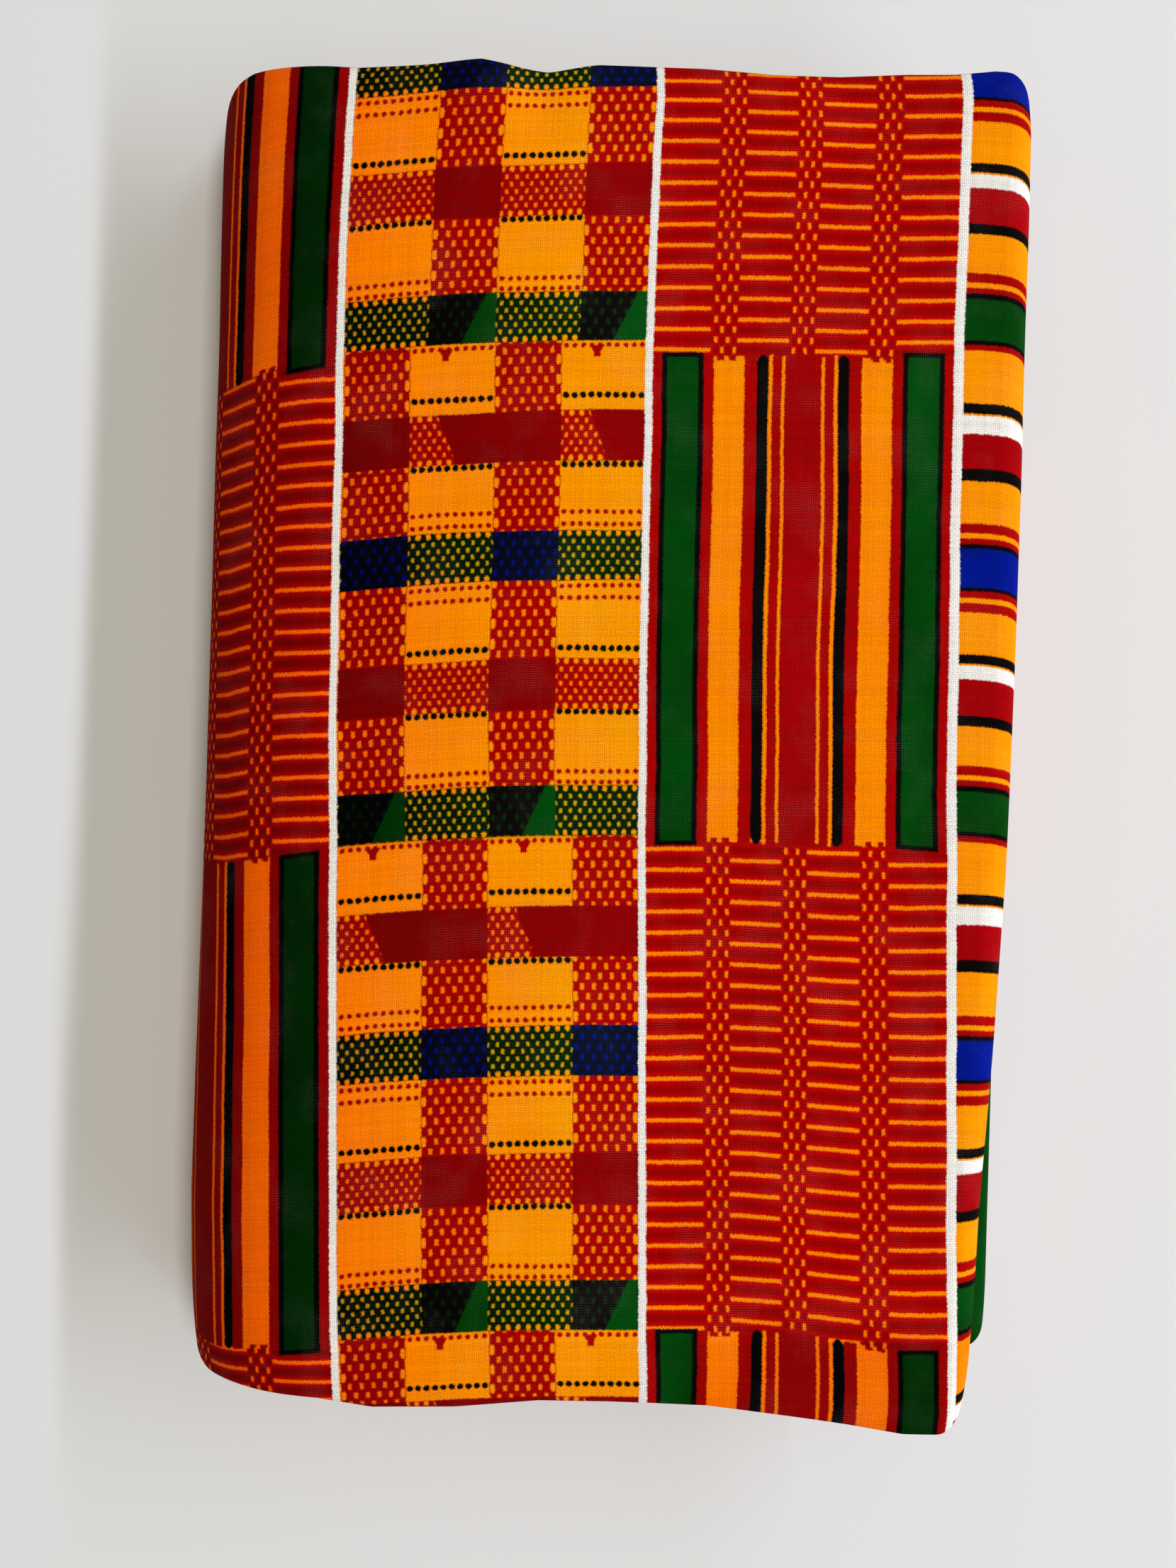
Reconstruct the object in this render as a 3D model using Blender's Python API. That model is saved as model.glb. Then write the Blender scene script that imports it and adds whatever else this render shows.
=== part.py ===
# A folded kente cloth: one length of printed cotton, folded in four across its width and then
# halved again and again along its length into a flat pack, lying printed side up.
# X runs across the printed lines to the photo's right, Y along them to its far edge, Z up.

import bmesh
import bpy
import math

MM = 0.001

# The cloth is halved five times along its length, which makes 32 turns of four plies each.
# The solid draws three of the halvings, so each of its flaps stands for four turns, 16 plies.
HALVINGS = 3
FLAP_THICK = 2.7         # mm, as every length below
LIP = 1.5                # how far from a flap's edge its fold starts to round

# Sampling of the section and of its sweep
FLAT_STEPS = 6           # along a hidden flap
TOP_STEPS = 16           # along the top flap
TURN_STEPS = 8           # round a fold
SWEEP_STEPS = 9          # between the two rounded ends

# The spine, which is the last fold and closes the pack on the left
SPINE_REACH = 25.0       # how far in its outermost turn starts to slope down, at the far end
SPINE_REACH_NEAR = 30.0  # the same at the near end
SPINE_UNDER = 14.0       # how far in the same turn meets the floor
SPINE_DEEP = 2.0         # both for its innermost turn
SPINE_BELLY = 0.42       # height of its furthest point, as a share of the fold

# The folds on the right
RIGHT_REACH = 6.5        # how far in the outer turn starts to slope down
RIGHT_DEEP = 2.0         # the same for a fold round nothing
RIGHT_BELLY = 0.47

APEX_PITCH = 5.2         # from one nested turn to the next, sideways
CORNER = 6.0             # plan radius where a fold meets the far or near edge

# The pack's sides, from the far end to the near one, in mm.
# y, left side, right side of the upper half, right side of the lower half, height
SIDES = (
    (152.0, -77.6, 93.0, 93.4, 28.6),
    (134.0, -78.5, 92.8, 93.2, 29.2),
    (108.0, -79.5, 91.8, 92.8, 29.8),
    (65.0, -81.0, 90.4, 91.6, 30.3),
    (25.0, -82.6, 88.8, 90.6, 30.8),
    (-20.0, -84.5, 86.9, 89.4, 31.4),
    (-60.0, -86.2, 83.6, 88.1, 32.2),
    (-87.0, -87.0, 81.1, 87.2, 32.8),
    (-106.0, -86.8, 79.7, 86.5, 33.0),
    (-118.0, -86.2, 78.6, 86.0, 32.8),
    (-134.0, -85.4, 77.0, 85.6, 32.2),
)

# Where the cloth ends at the far and near edges, in mm: x, y
FAR_EDGE = (
    (-80.0, 145.2), (-68.0, 146.3), (-44.0, 146.2), (-33.0, 146.8), (-22.0, 147.6),
    (-16.0, 146.5), (-10.0, 145.2), (0.0, 146.3), (13.0, 146.7), (24.0, 145.8),
    (40.0, 144.5), (70.0, 144.7), (84.0, 145.6), (93.0, 145.2),
)
NEAR_EDGE = (
    (-87.0, -123.6), (-68.0, -124.4), (-55.0, -125.0), (-44.0, -126.6), (-27.0, -126.3),
    (0.0, -125.5), (13.0, -125.8), (24.0, -126.6), (41.0, -128.8), (53.0, -130.5),
    (64.0, -132.1), (72.0, -132.2), (78.0, -131.6),
)
LOWER_NEAR_EDGE = ((-87.0, -123.6), (-50.0, -124.2), (20.0, -123.4), (86.0, -123.0))

# How far each flap falls short at the far and near edges, in mm, from the bottom flap up: far, near
SHORT = (
    (1.2, 0.6), (0.3, 1.6), (1.6, 0.2), (0.8, 0.0), (1.9, 1.1), (0.6, 1.8), (1.3, 0.7), (0.0, 0.0),
)

# The cloth's two cut ends lie at the bottom right, this far short of the lower half's side, in mm
CUT_END_SHORT = (4.0, 9.5)

# Soft ridges and troughs pressed into the upper flaps, in mm:
# x, y of the middle, half length along x and along y, height
WAVES = (
    (-22.0, 146.0, 9.0, 16.0, 1.1),
    (-9.0, 146.0, 6.0, 12.0, -0.9),
    (60.0, 140.0, 26.0, 20.0, -0.9),
    (-48.0, -120.0, 16.0, 14.0, -0.8),
    (66.0, -126.0, 14.0, 20.0, 0.8),
    (10.0, 20.0, 40.0, 60.0, 0.5),
)

END_DROP = 1.7        # how far the top sinks at the far and near edges
END_DROP_RUN = 9.0    # over this run


def at(table, x, column=1):
    """The table's column at x, between the two rows that hold it."""
    rows = sorted(table)
    x = min(max(x, rows[0][0]), rows[-1][0])
    for low, high in zip(rows, rows[1:]):
        if x <= high[0]:
            share = (x - low[0]) / (high[0] - low[0])
            return low[column] + (high[column] - low[column]) * share
    return rows[-1][column]


def stack_order(halvings):
    """The cloth's segments from the bottom of the pack up, after this many halvings."""
    stack = [list(range(2**halvings))]
    while len(stack[0]) > 1:
        half = len(stack[0]) // 2
        stack = [row[:half] for row in stack] + [row[half:][::-1] for row in stack[::-1]]
    return [row[0] for row in stack]


def section_steps(levels):
    """The section's points in order from one cut end to the other, as (kind, values)."""
    count = len(levels)
    steps = []
    for segment in range(count):
        level = levels[segment]
        leftward = segment % 2 == 0
        n = TOP_STEPS if level == count - 1 else FLAT_STEPS
        shares = [i / n for i in range(n + 1)]
        if segment == 0:
            steps += [("cut", level, d) for d in (0.0, 0.4 * LIP)]
        if segment == count - 1:
            steps += [("flat", level, share) for share in shares[:-1]]
            steps += [("cut", level, d) for d in (LIP, 0.4 * LIP, 0.0)]
            return steps
        if segment == 0:
            steps.append(("cut", level, LIP))
            shares = shares[:-1]
        steps += [("flat", level, share) for share in (shares[::-1] if leftward else shares)]
        low, high = sorted((level, levels[segment + 1]))
        turns = [math.pi * i / TURN_STEPS for i in range(1, TURN_STEPS)]
        upward = levels[segment + 1] > level
        side = "left" if leftward else "right"
        steps += [(side, low, high, t, upward) for t in (turns[::-1] if upward else turns)]
    return steps


def fold_shape(side, low, high, y, count):
    """A fold's furthest x, its height there, and its four half-axes, at this y."""
    height = at(SIDES, y, 4)
    pitch = (height - FLAP_THICK) / (count - 1)
    z_low, z_high = (FLAP_THICK / 2 + k * pitch for k in (low, high))
    widest = (count - 1) if side == "left" else (count / 2 - 1)
    size = (high - low - 1) / max(widest - 1, 1)
    if side == "left":
        nested = low
        x = at(SIDES, y, 1) + FLAP_THICK / 2 + nested * APEX_PITCH
        near_share = min(max((146.0 - y) / 270.0, 0.0), 1.0)
        reach = SPINE_REACH + (SPINE_REACH_NEAR - SPINE_REACH) * near_share
        over = SPINE_DEEP + (reach - SPINE_DEEP) * size
        under = SPINE_DEEP + (SPINE_UNDER - SPINE_DEEP) * size
        belly = 0.5 + (SPINE_BELLY - 0.5) * size
    else:
        group = 2 ** int(math.log2(low))
        nested = low - group
        x = at(SIDES, y, 2 if low >= count // 2 else 3) - FLAP_THICK / 2 - nested * APEX_PITCH
        over = under = RIGHT_DEEP + (RIGHT_REACH - RIGHT_DEEP) * size
        belly = 0.5 + (RIGHT_BELLY - 0.5) * size
    z = z_low + belly * (z_high - z_low)
    return x, z, over, under, z_high - z, z - z_low


def flat_span(level, y, count, levels_at):
    """The x where a flap's flat part starts on the left and ends on the right, at this y."""
    ends = []
    for side, crease in levels_at[level]:
        if crease is None:
            x = at(SIDES, y, 3) - CUT_END_SHORT[level] - LIP
        else:
            low, high = crease
            x, _, over, under, _, _ = fold_shape(side, low, high, y, count)
            reach = over if level == high else under
            x = x + reach if side == "left" else x - reach
        ends.append((side, x))
    ends = dict(ends)
    return ends["left"], ends["right"]


def place(step, y, count, levels_at):
    """A step's x and z at this y, its direction across the cloth, and its share of full thickness."""
    height = at(SIDES, y, 4)
    pitch = (height - FLAP_THICK) / (count - 1)
    kind = step[0]
    if kind in ("flat", "cut"):
        level = step[1]
        left, right = flat_span(level, y, count, levels_at)
        z = FLAP_THICK / 2 + level * pitch
        if kind == "flat":
            x = left + (right - left) * step[2]
            thick = 1.0
        else:
            x = right + LIP - step[2]
            thick = {0.0: 0.35, LIP: 1.0}.get(step[2], 0.8)
        # Even levels of the cloth run leftward, so their left-hand side faces down.
        leftward = levels_at["leftward"][level]
        return x, z, (0.0, -1.0 if leftward else 1.0), thick
    _, low, high, turn, upward = step
    far_x, mid_z, over, under, up, down = fold_shape(kind, low, high, y, count)
    sign = -1.0 if kind == "left" else 1.0
    a, b = (over, up) if turn <= math.pi / 2 else (under, down)
    x = far_x + sign * a * (math.sin(turn) - 1)
    z = mid_z + b * math.cos(turn)
    tangent = (sign * a * math.cos(turn), -b * math.sin(turn))
    if upward:
        tangent = (-tangent[0], -tangent[1])
    size = math.hypot(*tangent)
    return x, z, (-tangent[1] / size, tangent[0] / size), 1.0


def corner(distance):
    """How far the cloth falls short of its far or near edge, this far in from a fold."""
    if distance >= CORNER:
        return 0.0
    return CORNER - math.sqrt(CORNER**2 - (CORNER - max(distance, 0.0)) ** 2)


def ends_of(step, count, levels_at):
    """Where the cloth starts and stops along Y at this step of the section."""
    limits = []
    for y, edge in ((146.0, "far"), (-126.0, "near")):
        x = place(step, y, count, levels_at)[0]
        if step[0] in ("flat", "cut"):
            low_share = 1.0 if step[1] < count // 2 else 0.0
            shorts = SHORT[step[1]]
        else:
            _, low, high, turn, _ = step
            down = turn / math.pi
            pair = (1.0 if high < count // 2 else 0.0, 1.0 if low < count // 2 else 0.0)
            low_share = pair[0] * (1 - down) + pair[1] * down
            shorts = [SHORT[high][i] * (1 - down) + SHORT[low][i] * down for i in (0, 1)]
        spans = []
        if step[0] != "cut":
            if step[0] == "flat":
                for side, crease in levels_at[step[1]]:
                    if crease:
                        spans.append(abs(x - fold_shape(side, *crease, y, count)[0]))
            else:
                spans.append(abs(x - fold_shape(step[0], step[1], step[2], y, count)[0]))
        inward = corner(min(spans)) if spans else 0.0
        if edge == "far":
            limits.append(at(FAR_EDGE, x) - shorts[0] - inward)
        else:
            near = at(NEAR_EDGE, x) * (1 - low_share) + at(LOWER_NEAR_EDGE, x) * low_share
            limits.append(near + shorts[1] + inward)
    return limits


def wave(x, y):
    total = 0.0
    for mid_x, mid_y, long_x, long_y, rise in WAVES:
        total += rise * math.exp(-(((x - mid_x) / long_x) ** 2) - ((y - mid_y) / long_y) ** 2)
    return total


def creases_by_level(order):
    """For each level of the pack, the folds at its left and right, and which way the cloth runs."""
    count = len(order)
    levels = {segment: level for level, segment in enumerate(order)}
    found = {level: [] for level in range(count)}
    for crease in range(count + 1):
        side = "left" if crease % 2 else "right"
        if crease in (0, count):
            segment = 0 if crease == 0 else count - 1
            found[levels[segment]].append((side, None))
            continue
        pair = tuple(sorted((levels[crease - 1], levels[crease])))
        for level in pair:
            found[level].append((side, pair))
    found["leftward"] = {levels[segment]: segment % 2 == 0 for segment in range(count)}
    return levels, found


def sweep():
    """Positions along the pack's length: distance from the far or near edge, and share of thickness."""
    rows = [(0.0, 0.0, 0.35), (0.0, 0.4 * LIP, 0.8), (0.0, LIP, 1.0), (0.0, 0.6 * END_DROP_RUN, 1.0)]
    inner = [(i / SWEEP_STEPS, 0.0, 1.0) for i in range(1, SWEEP_STEPS)]
    near = [(1.0, -d, thick) for _, d, thick in rows[::-1]]
    return rows + inner + near


def build():
    order = stack_order(HALVINGS)
    count = len(order)
    levels, levels_at = creases_by_level(order)
    steps = section_steps(levels)
    rows = sweep()
    mesh = bmesh.new()
    sheets = ([], [])
    for step in steps:
        far, near = ends_of(step, count, levels_at)
        columns = ([], [])
        for share, inset, lip in rows:
            y = far + (near - far) * share - inset
            x, z, across, thick = place(step, y, count, levels_at)
            height = at(SIDES, y, 4)
            edge = min(far - y, y - near)
            sink = END_DROP * max(1 - edge / END_DROP_RUN, 0.0) ** 2
            z += (wave(x, y) - sink) * (z - FLAP_THICK / 2) / height
            half = FLAP_THICK / 2 * min(thick, lip)
            for column, sign in zip(columns, (1, -1)):
                place_at = (x + sign * across[0] * half, y, z + sign * across[1] * half)
                column.append(mesh.verts.new([MM * v for v in place_at]))
        for sheet, column in zip(sheets, columns):
            sheet.append(column)
    one, two = sheets
    for i in range(len(steps) - 1):
        for j in range(len(rows) - 1):
            for sheet in sheets:
                mesh.faces.new((sheet[i][j], sheet[i + 1][j], sheet[i + 1][j + 1], sheet[i][j + 1]))
        for j in (0, len(rows) - 1):
            mesh.faces.new((one[i][j], one[i + 1][j], two[i + 1][j], two[i][j]))
    for i in (0, len(steps) - 1):
        for j in range(len(rows) - 1):
            mesh.faces.new((one[i][j], one[i][j + 1], two[i][j + 1], two[i][j]))
    bmesh.ops.recalc_face_normals(mesh, faces=mesh.faces)

    # The row's origin is at the middle of the underside.
    xs, ys, zs = zip(*(v.co for v in mesh.verts))
    shift = (-(min(xs) + max(xs)) / 2, -(min(ys) + max(ys)) / 2, -min(zs))
    bmesh.ops.translate(mesh, verts=mesh.verts, vec=shift)
    return mesh


for old in list(bpy.data.objects):
    bpy.data.objects.remove(old)

solid = build()
data = bpy.data.meshes.new("kente_cloth")
solid.to_mesh(data)
solid.free()
cloth = bpy.data.objects.new("kente_cloth", data)
bpy.context.scene.collection.objects.link(cloth)

cotton = bpy.data.materials.new("printed_cotton")
cotton.use_nodes = True
shader = cotton.node_tree.nodes["Principled BSDF"]
shader.inputs["Base Color"].default_value = (0.60, 0.10, 0.01, 1.0)
shader.inputs["Roughness"].default_value = 0.85
data.materials.append(cotton)
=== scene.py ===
import bpy
import math
import random
from functools import partial
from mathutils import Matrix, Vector, noise


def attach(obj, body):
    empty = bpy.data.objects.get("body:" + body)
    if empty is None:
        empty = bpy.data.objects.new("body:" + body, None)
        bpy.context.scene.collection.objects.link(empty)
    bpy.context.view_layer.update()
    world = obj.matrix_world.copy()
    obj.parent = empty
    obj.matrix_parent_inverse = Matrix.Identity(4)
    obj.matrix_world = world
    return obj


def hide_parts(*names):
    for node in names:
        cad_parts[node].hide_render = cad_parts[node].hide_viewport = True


# Folded kente cloth: a six yard length of printed cotton, four plies deep, halved five times.
# Lengths are in millimetres until a mesh is made. X runs to the photo's right, Y to its far edge.

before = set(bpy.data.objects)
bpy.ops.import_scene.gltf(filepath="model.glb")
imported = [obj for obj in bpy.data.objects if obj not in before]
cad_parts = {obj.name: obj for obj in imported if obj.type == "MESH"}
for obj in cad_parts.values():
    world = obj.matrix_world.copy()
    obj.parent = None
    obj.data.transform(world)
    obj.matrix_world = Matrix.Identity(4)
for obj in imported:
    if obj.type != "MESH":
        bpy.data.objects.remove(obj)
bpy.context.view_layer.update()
mm = 0.001
centreShift = (-3.1241, -7.5699)   # from the middle of the photograph to the part's own origin


def linearColour(code):
    # sRGB hex to the linear values that Blender's sockets take
    parts = [int(code[i:i + 2], 16) / 255 for i in (1, 3, 5)]
    return [c / 12.92 if c <= 0.04045 else ((c + 0.055) / 1.055) ** 2.4 for c in parts] + [1.0]


def addNode(tree, kind, *feeds, **settings):
    # one node, its settings, and what feeds each of its sockets in order
    node = tree.nodes.new("ShaderNode" + kind)
    for name, value in settings.items():
        setattr(node, name, value)
    for socket, feed in zip(node.inputs, feeds):
        if isinstance(feed, bpy.types.Node):
            feed = feed.outputs[0]
        if isinstance(feed, bpy.types.NodeSocket):
            tree.links.new(feed, socket)
        elif feed is not None:
            socket.default_value = feed
    return node


def setStops(node, stops):
    # a colour ramp in flat steps: each stop is (place from 0 to 1, colour)
    ramp = node.color_ramp
    ramp.interpolation = "CONSTANT"
    while len(ramp.elements) < len(stops):
        ramp.elements.new(1.0)
    for element, (place, colour) in zip(ramp.elements, stops):
        element.position = place
        element.color = linearColour(colour) if isinstance(colour, str) else colour
    return node


cloth = {
    "halvings": 5,             # folds along its length, so 32 turns
    "thick": 0.7,              # four plies of thin cotton pressed together
    "spineReach": (29.0, 32.0),    # how far in the last fold's outer turn slopes down: far, near
    "spineUnder": 14.0,        # how far in it meets the floor
    "spineBelly": 0.38,        # height of its furthest point, as a share of the fold
    "rightReach": 6.5,         # the same for the folds on the right
    "rightBelly": 0.47,
    "foldDeep": 0.55,          # reach of a fold round nothing
    "turnPitch": 1.4,          # from one nested turn to the next, sideways
    "corner": 6.0,             # plan radius where a fold meets the far or near edge
    "groupInset": {16: 0.0, 8: 0.0, 4: 6.5, 2: 3.6},    # right-hand folds, by lowest flap
    "cutInset": (4.0, 8.6),    # the two cut ends at the bottom right
    "endDrop": 1.7,            # how far the top sinks at the far and near edges
    "endRun": 9.0,             # over this run
    "flatFaces": {31: 128, 30: 26, 29: 26, 28: 18, 27: 12, 0: 24},    # across each flap, else 5
}

# y, left side, right side of the upper half, right side of the lower half, height
sides = (
    (-134.0, -84.6, 77.0, 85.6, 32.2), (-118.0, -85.2, 78.6, 86.0, 32.8),
    (-106.0, -85.7, 79.6, 86.5, 33.0), (-87.0, -85.8, 80.8, 87.2, 32.8),
    (-60.0, -85.1, 83.3, 88.1, 32.2), (-20.0, -83.6, 86.7, 89.4, 31.4),
    (25.0, -82.2, 88.8, 90.6, 30.8), (65.0, -81.2, 90.4, 91.6, 30.3),
    (108.0, -80.1, 91.8, 92.8, 29.8), (134.0, -79.4, 92.8, 93.2, 29.2),
    (152.0, -78.8, 93.2, 93.4, 28.6),
)
# where the cloth ends, x and y
farEdge = (
    (-80.0, 148.6), (-70.0, 149.4), (-62.0, 148.6), (-48.0, 147.4), (-33.0, 148.0), (-22.0, 148.7),
    (-14.0, 147.4), (-8.0, 146.8), (2.0, 148.0), (13.0, 147.6), (24.0, 147.2), (38.0, 146.0),
    (52.0, 145.8), (66.0, 146.4), (76.0, 146.3), (84.0, 146.9), (93.0, 146.2),
)
nearEdge = (
    (-87.0, -122.6), (-68.0, -124.0), (-55.0, -124.7), (-44.0, -126.5), (-27.0, -126.2),
    (-10.0, -124.8), (4.0, -125.0), (13.0, -125.3), (24.0, -125.8), (41.0, -128.1), (53.0, -129.7),
    (64.0, -131.4), (72.0, -131.6), (78.0, -131.0),
)
lowerNearEdge = ((-87.0, -123.6), (-50.0, -124.2), (20.0, -123.4), (86.0, -123.0))
# soft ridges and troughs of the upper flaps: x, y, half length along x and y, height
waves = (
    (-22.0, 146.0, 9.0, 16.0, 1.1), (-9.0, 146.0, 6.0, 12.0, -0.9),
    (60.0, 140.0, 26.0, 20.0, -0.9), (-48.0, -120.0, 16.0, 14.0, -0.8),
    (66.0, -126.0, 14.0, 20.0, 0.8), (10.0, 20.0, 40.0, 60.0, 0.5),
)
# the printed white line near the middle of the top flap, as it wanders: y, x
middleLine = (
    (-117.9, 11.15), (-92.1, 10.9), (-66.4, 10.9), (-40.6, 10.9), (-14.9, 11.0), (15.2, 11.0),
    (36.6, 11.4), (62.3, 12.0), (88.1, 12.4), (113.8, 13.4), (139.6, 14.7),
)


def tableAt(table, x, column=1):
    x = min(max(x, table[0][0]), table[-1][0])
    for low, high in zip(table, table[1:]):
        if x <= high[0]:
            share = (x - low[0]) / (high[0] - low[0])
            return low[column] + (high[column] - low[column]) * share


def stackOrder(halvings):
    # the cloth's segments from the bottom of the pack up
    stack = [list(range(2 ** halvings))]
    while len(stack[0]) > 1:
        half = len(stack[0]) // 2
        stack = [row[:half] for row in stack] + [row[half:][::-1] for row in stack[::-1]]
    return [row[0] for row in stack]


order = stackOrder(cloth["halvings"])
flapCount = len(order)
levelOf = {segment: level for level, segment in enumerate(order)}
picker = random.Random(11)
short = [(picker.uniform(0.2, 1.9), picker.uniform(0.2, 1.9)) for _ in order]
short[-1] = (0.0, 0.0)
foldsAt = {level: {} for level in range(flapCount)}
for crease in range(flapCount + 1):
    side = "left" if crease % 2 else "right"
    touching = [levelOf[s] for s in (crease - 1, crease) if 0 <= s < flapCount]
    for level in touching:
        foldsAt[level][side] = tuple(sorted(touching)) if len(touching) == 2 else None


def foldShape(side, low, high, y):
    # a fold's furthest x, its height there, and its four half-axes
    thick = cloth["thick"]
    pitch = (tableAt(sides, y, 4) - thick) / (flapCount - 1)
    zLow, zHigh = (thick / 2 + k * pitch for k in (low, high))
    deep = cloth["foldDeep"]
    wobble = 0.22 * noise.noise(Vector((y / 38, 7.3 * low, 3.1 * high)))
    if side == "left":
        size = (high - low - 1) / (flapCount - 2)
        x = tableAt(sides, y, 1) + thick / 2 + low * cloth["turnPitch"] + wobble
        near = min(max((146.0 - y) / 270.0, 0.0), 1.0)
        reach = cloth["spineReach"][0] * (1 - near) + cloth["spineReach"][1] * near
        over, under = deep + (reach - deep) * size, deep + (cloth["spineUnder"] - deep) * size
        belly = 0.5 + (cloth["spineBelly"] - 0.5) * size
    else:
        size = (high - low - 1) / (flapCount / 2 - 2)
        group = 2 ** int(math.log2(low))
        inset = cloth["groupInset"][group] + (low - group) * cloth["turnPitch"]
        x = tableAt(sides, y, 2 if low >= flapCount // 2 else 3) - thick / 2 - inset - wobble
        over = under = deep + (cloth["rightReach"] - deep) * size
        belly = 0.5 + (cloth["rightBelly"] - 0.5) * size
    z = zLow + belly * (zHigh - zLow)
    return x, z, over, under, zHigh - z, z - zLow


def flatSpan(level, y):
    found = []
    for side, sign in (("left", 1), ("right", -1)):
        pair = foldsAt[level][side]
        if pair is None:
            found.append(tableAt(sides, y, 3) - cloth["cutInset"][level])
        else:
            x, _, over, under, _, _ = foldShape(side, *pair, y)
            found.append(x + sign * (over if level == pair[1] else under))
    return found


def makeSteps():
    # the section from one cut end to the other: kind, levels, place and whether it stays hidden
    found = []
    for segment in range(flapCount):
        level = levelOf[segment]
        leftward = segment % 2 == 0
        count = cloth["flatFaces"].get(level, 5)
        shares = [i / count for i in range(count + 1)]
        hidden = level not in (0, flapCount - 1)
        shares = shares[::-1] if leftward else shares
        found += [("flat", level, level, share, leftward, hidden) for share in shares]
        if segment == flapCount - 1:
            return found
        after = levelOf[segment + 1]
        low, high = min(level, after), max(level, after)
        side = "left" if leftward else "right"
        group = 2 ** int(math.log2(max(low, 1)))
        outer = low == 0 if side == "left" else low == group
        span = high - low
        count = (44 if side == "left" else 10 + span) if outer else 6 + span // 3
        rising = after > level
        turns = [math.pi * i / count for i in range(1, count)]
        turns = turns[::-1] if rising else turns
        found += [(side, low, high, turn, rising, not outer) for turn in turns]


def placeStep(step, y):
    # x, z and the direction across the cloth, towards its outer face
    kind, low, high, share, turned, _ = step
    if kind == "flat":
        pitch = (tableAt(sides, y, 4) - cloth["thick"]) / (flapCount - 1)
        left, right = flatSpan(low, y)
        lift = 0.09 * noise.noise(Vector((share * 3, y / 30, low * 5.7))) * math.sin(math.pi * share)
        z = cloth["thick"] / 2 + low * pitch + (lift if low else 0.0)
        return left + (right - left) * share, z, (0.0, -1.0 if turned else 1.0)
    farX, midZ, over, under, up, down = foldShape(kind, low, high, y)
    sign = -1.0 if kind == "left" else 1.0
    a, b = (over, up) if share <= math.pi / 2 else (under, down)
    tangent = (sign * a * math.cos(share), -b * math.sin(share))
    flip = -1.0 if turned else 1.0
    size = math.hypot(*tangent) * flip
    x, z = farX + sign * a * (math.sin(share) - 1), midZ + b * math.cos(share)
    return x, z, (-tangent[1] / size, tangent[0] / size)


def cornerCut(distance):
    radius = cloth["corner"]
    if distance >= radius:
        return 0.0
    return radius - math.sqrt(radius ** 2 - (radius - max(distance, 0.0)) ** 2)


def endsOf(step):
    # where the cloth starts and stops along Y at this step
    kind, low, high, share, _, _ = step
    limits = []
    half = flapCount // 2
    down = share / math.pi if kind != "flat" else 0.0
    lower = (high < half) * (1 - down) + (low < half) * down
    for y, edge in ((146.0, 0), (-126.0, 1)):
        x = placeStep(step, y)[0]
        pairs = [(s, p) for s, p in foldsAt[low].items() if p] if kind == "flat" else [(kind, (low, high))]
        inward = cornerCut(min(abs(x - foldShape(s, *p, y)[0]) for s, p in pairs))
        miss = short[high][edge] * (1 - down) + short[low][edge] * down
        if edge == 0:
            limits.append(tableAt(farEdge, x) - miss - inward)
        else:
            near = tableAt(nearEdge, x) * (1 - lower) + tableAt(lowerNearEdge, x) * lower
            limits.append(near + miss + inward)
    return limits


def relief(x, y):
    total = 0.30 * noise.noise(Vector((x / 42, y / 55, 1.7)))
    for midX, midY, alongX, alongY, rise in waves:
        total += rise * math.exp(-((x - midX) / alongX) ** 2 - ((y - midY) / alongY) ** 2)
    return total + 0.09 * noise.noise(Vector((x / 13, y / 16, 9.1)))


# The ring across the cloth's width. Outer face from far to near, the folded near edge, the inner
# face back, then the far edge, where a fold of two plies and two selvages lie on each other.
outerRows = [0.9, 1.6, 2.6, 4.0, 5.6, 7.4, 9.6, 12.0]
outerShares = [i / 46 for i in range(1, 46)]
nearLip = [(0.3, 0.96), (0.08, 0.6), (0.0, 0.0), (0.08, -0.6), (0.3, -0.96)]
farLip = [
    (0.45, -0.92, 1), (0.3, -0.75, 1), (0.45, -0.58, 1), (1.2, -0.5, 1),
    (0.6, -0.42, 2), (0.45, -0.25, 2), (0.6, -0.08, 2), (1.4, 0.0, 2),
    (0.35, 0.12, 0), (0.0, 0.5, 0), (0.35, 0.9, 0),
]


def ringAt(far, near, i):
    # (y, share of half the thickness, row of the outer face it goes with, selvage) all the way round
    outer = [far - d for d in outerRows]
    outer += [far - 12.0 + (near - far + 24.0) * s for s in outerShares]
    outer += [near + d for d in outerRows[::-1]]
    last = len(outer) - 1
    ring = [(y, 1.0, k, 0.0) for k, y in enumerate(outer)]
    ring += [(near + d, s, last, 0.0) for d, s in nearLip]
    endSteps = (0, 1, 3, 6, last - 6, last - 3, last - 1, last)
    inner = [k for k in range(last, -1, -1) if k in endSteps or k % 5 == 0]
    ring += [(outer[k], -1.0, k, 0.0) for k in inner]
    for d, s, lobe in farLip:
        slip = 0.45 * noise.noise(Vector((i * 0.021, lobe * 4.4, 2.0))) if lobe else 0.0
        ring.append((far - d - abs(slip), s, 0, 1.0 if lobe and d < 1.0 else 0.0))
    return ring


def buildCloth():
    steps = makeSteps()
    grid = []
    for i, step in enumerate(steps):
        far, near = endsOf(step)
        column = []
        for y, side, row, selvage in ringAt(far, near, i):
            x, z, across = placeStep(step, y)
            edge = min(far - y, y - near)
            sink = cloth["endDrop"] * max(1 - edge / cloth["endRun"], 0.0) ** 2
            z += (relief(x, y) - sink) * max(z - 2.0, 0.0) / tableAt(sides, y, 4)
            half = cloth["thick"] / 2 * side
            column.append((x + across[0] * half, y, z + across[1] * half, row, selvage))
        grid.append(column)
    return steps, grid


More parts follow.
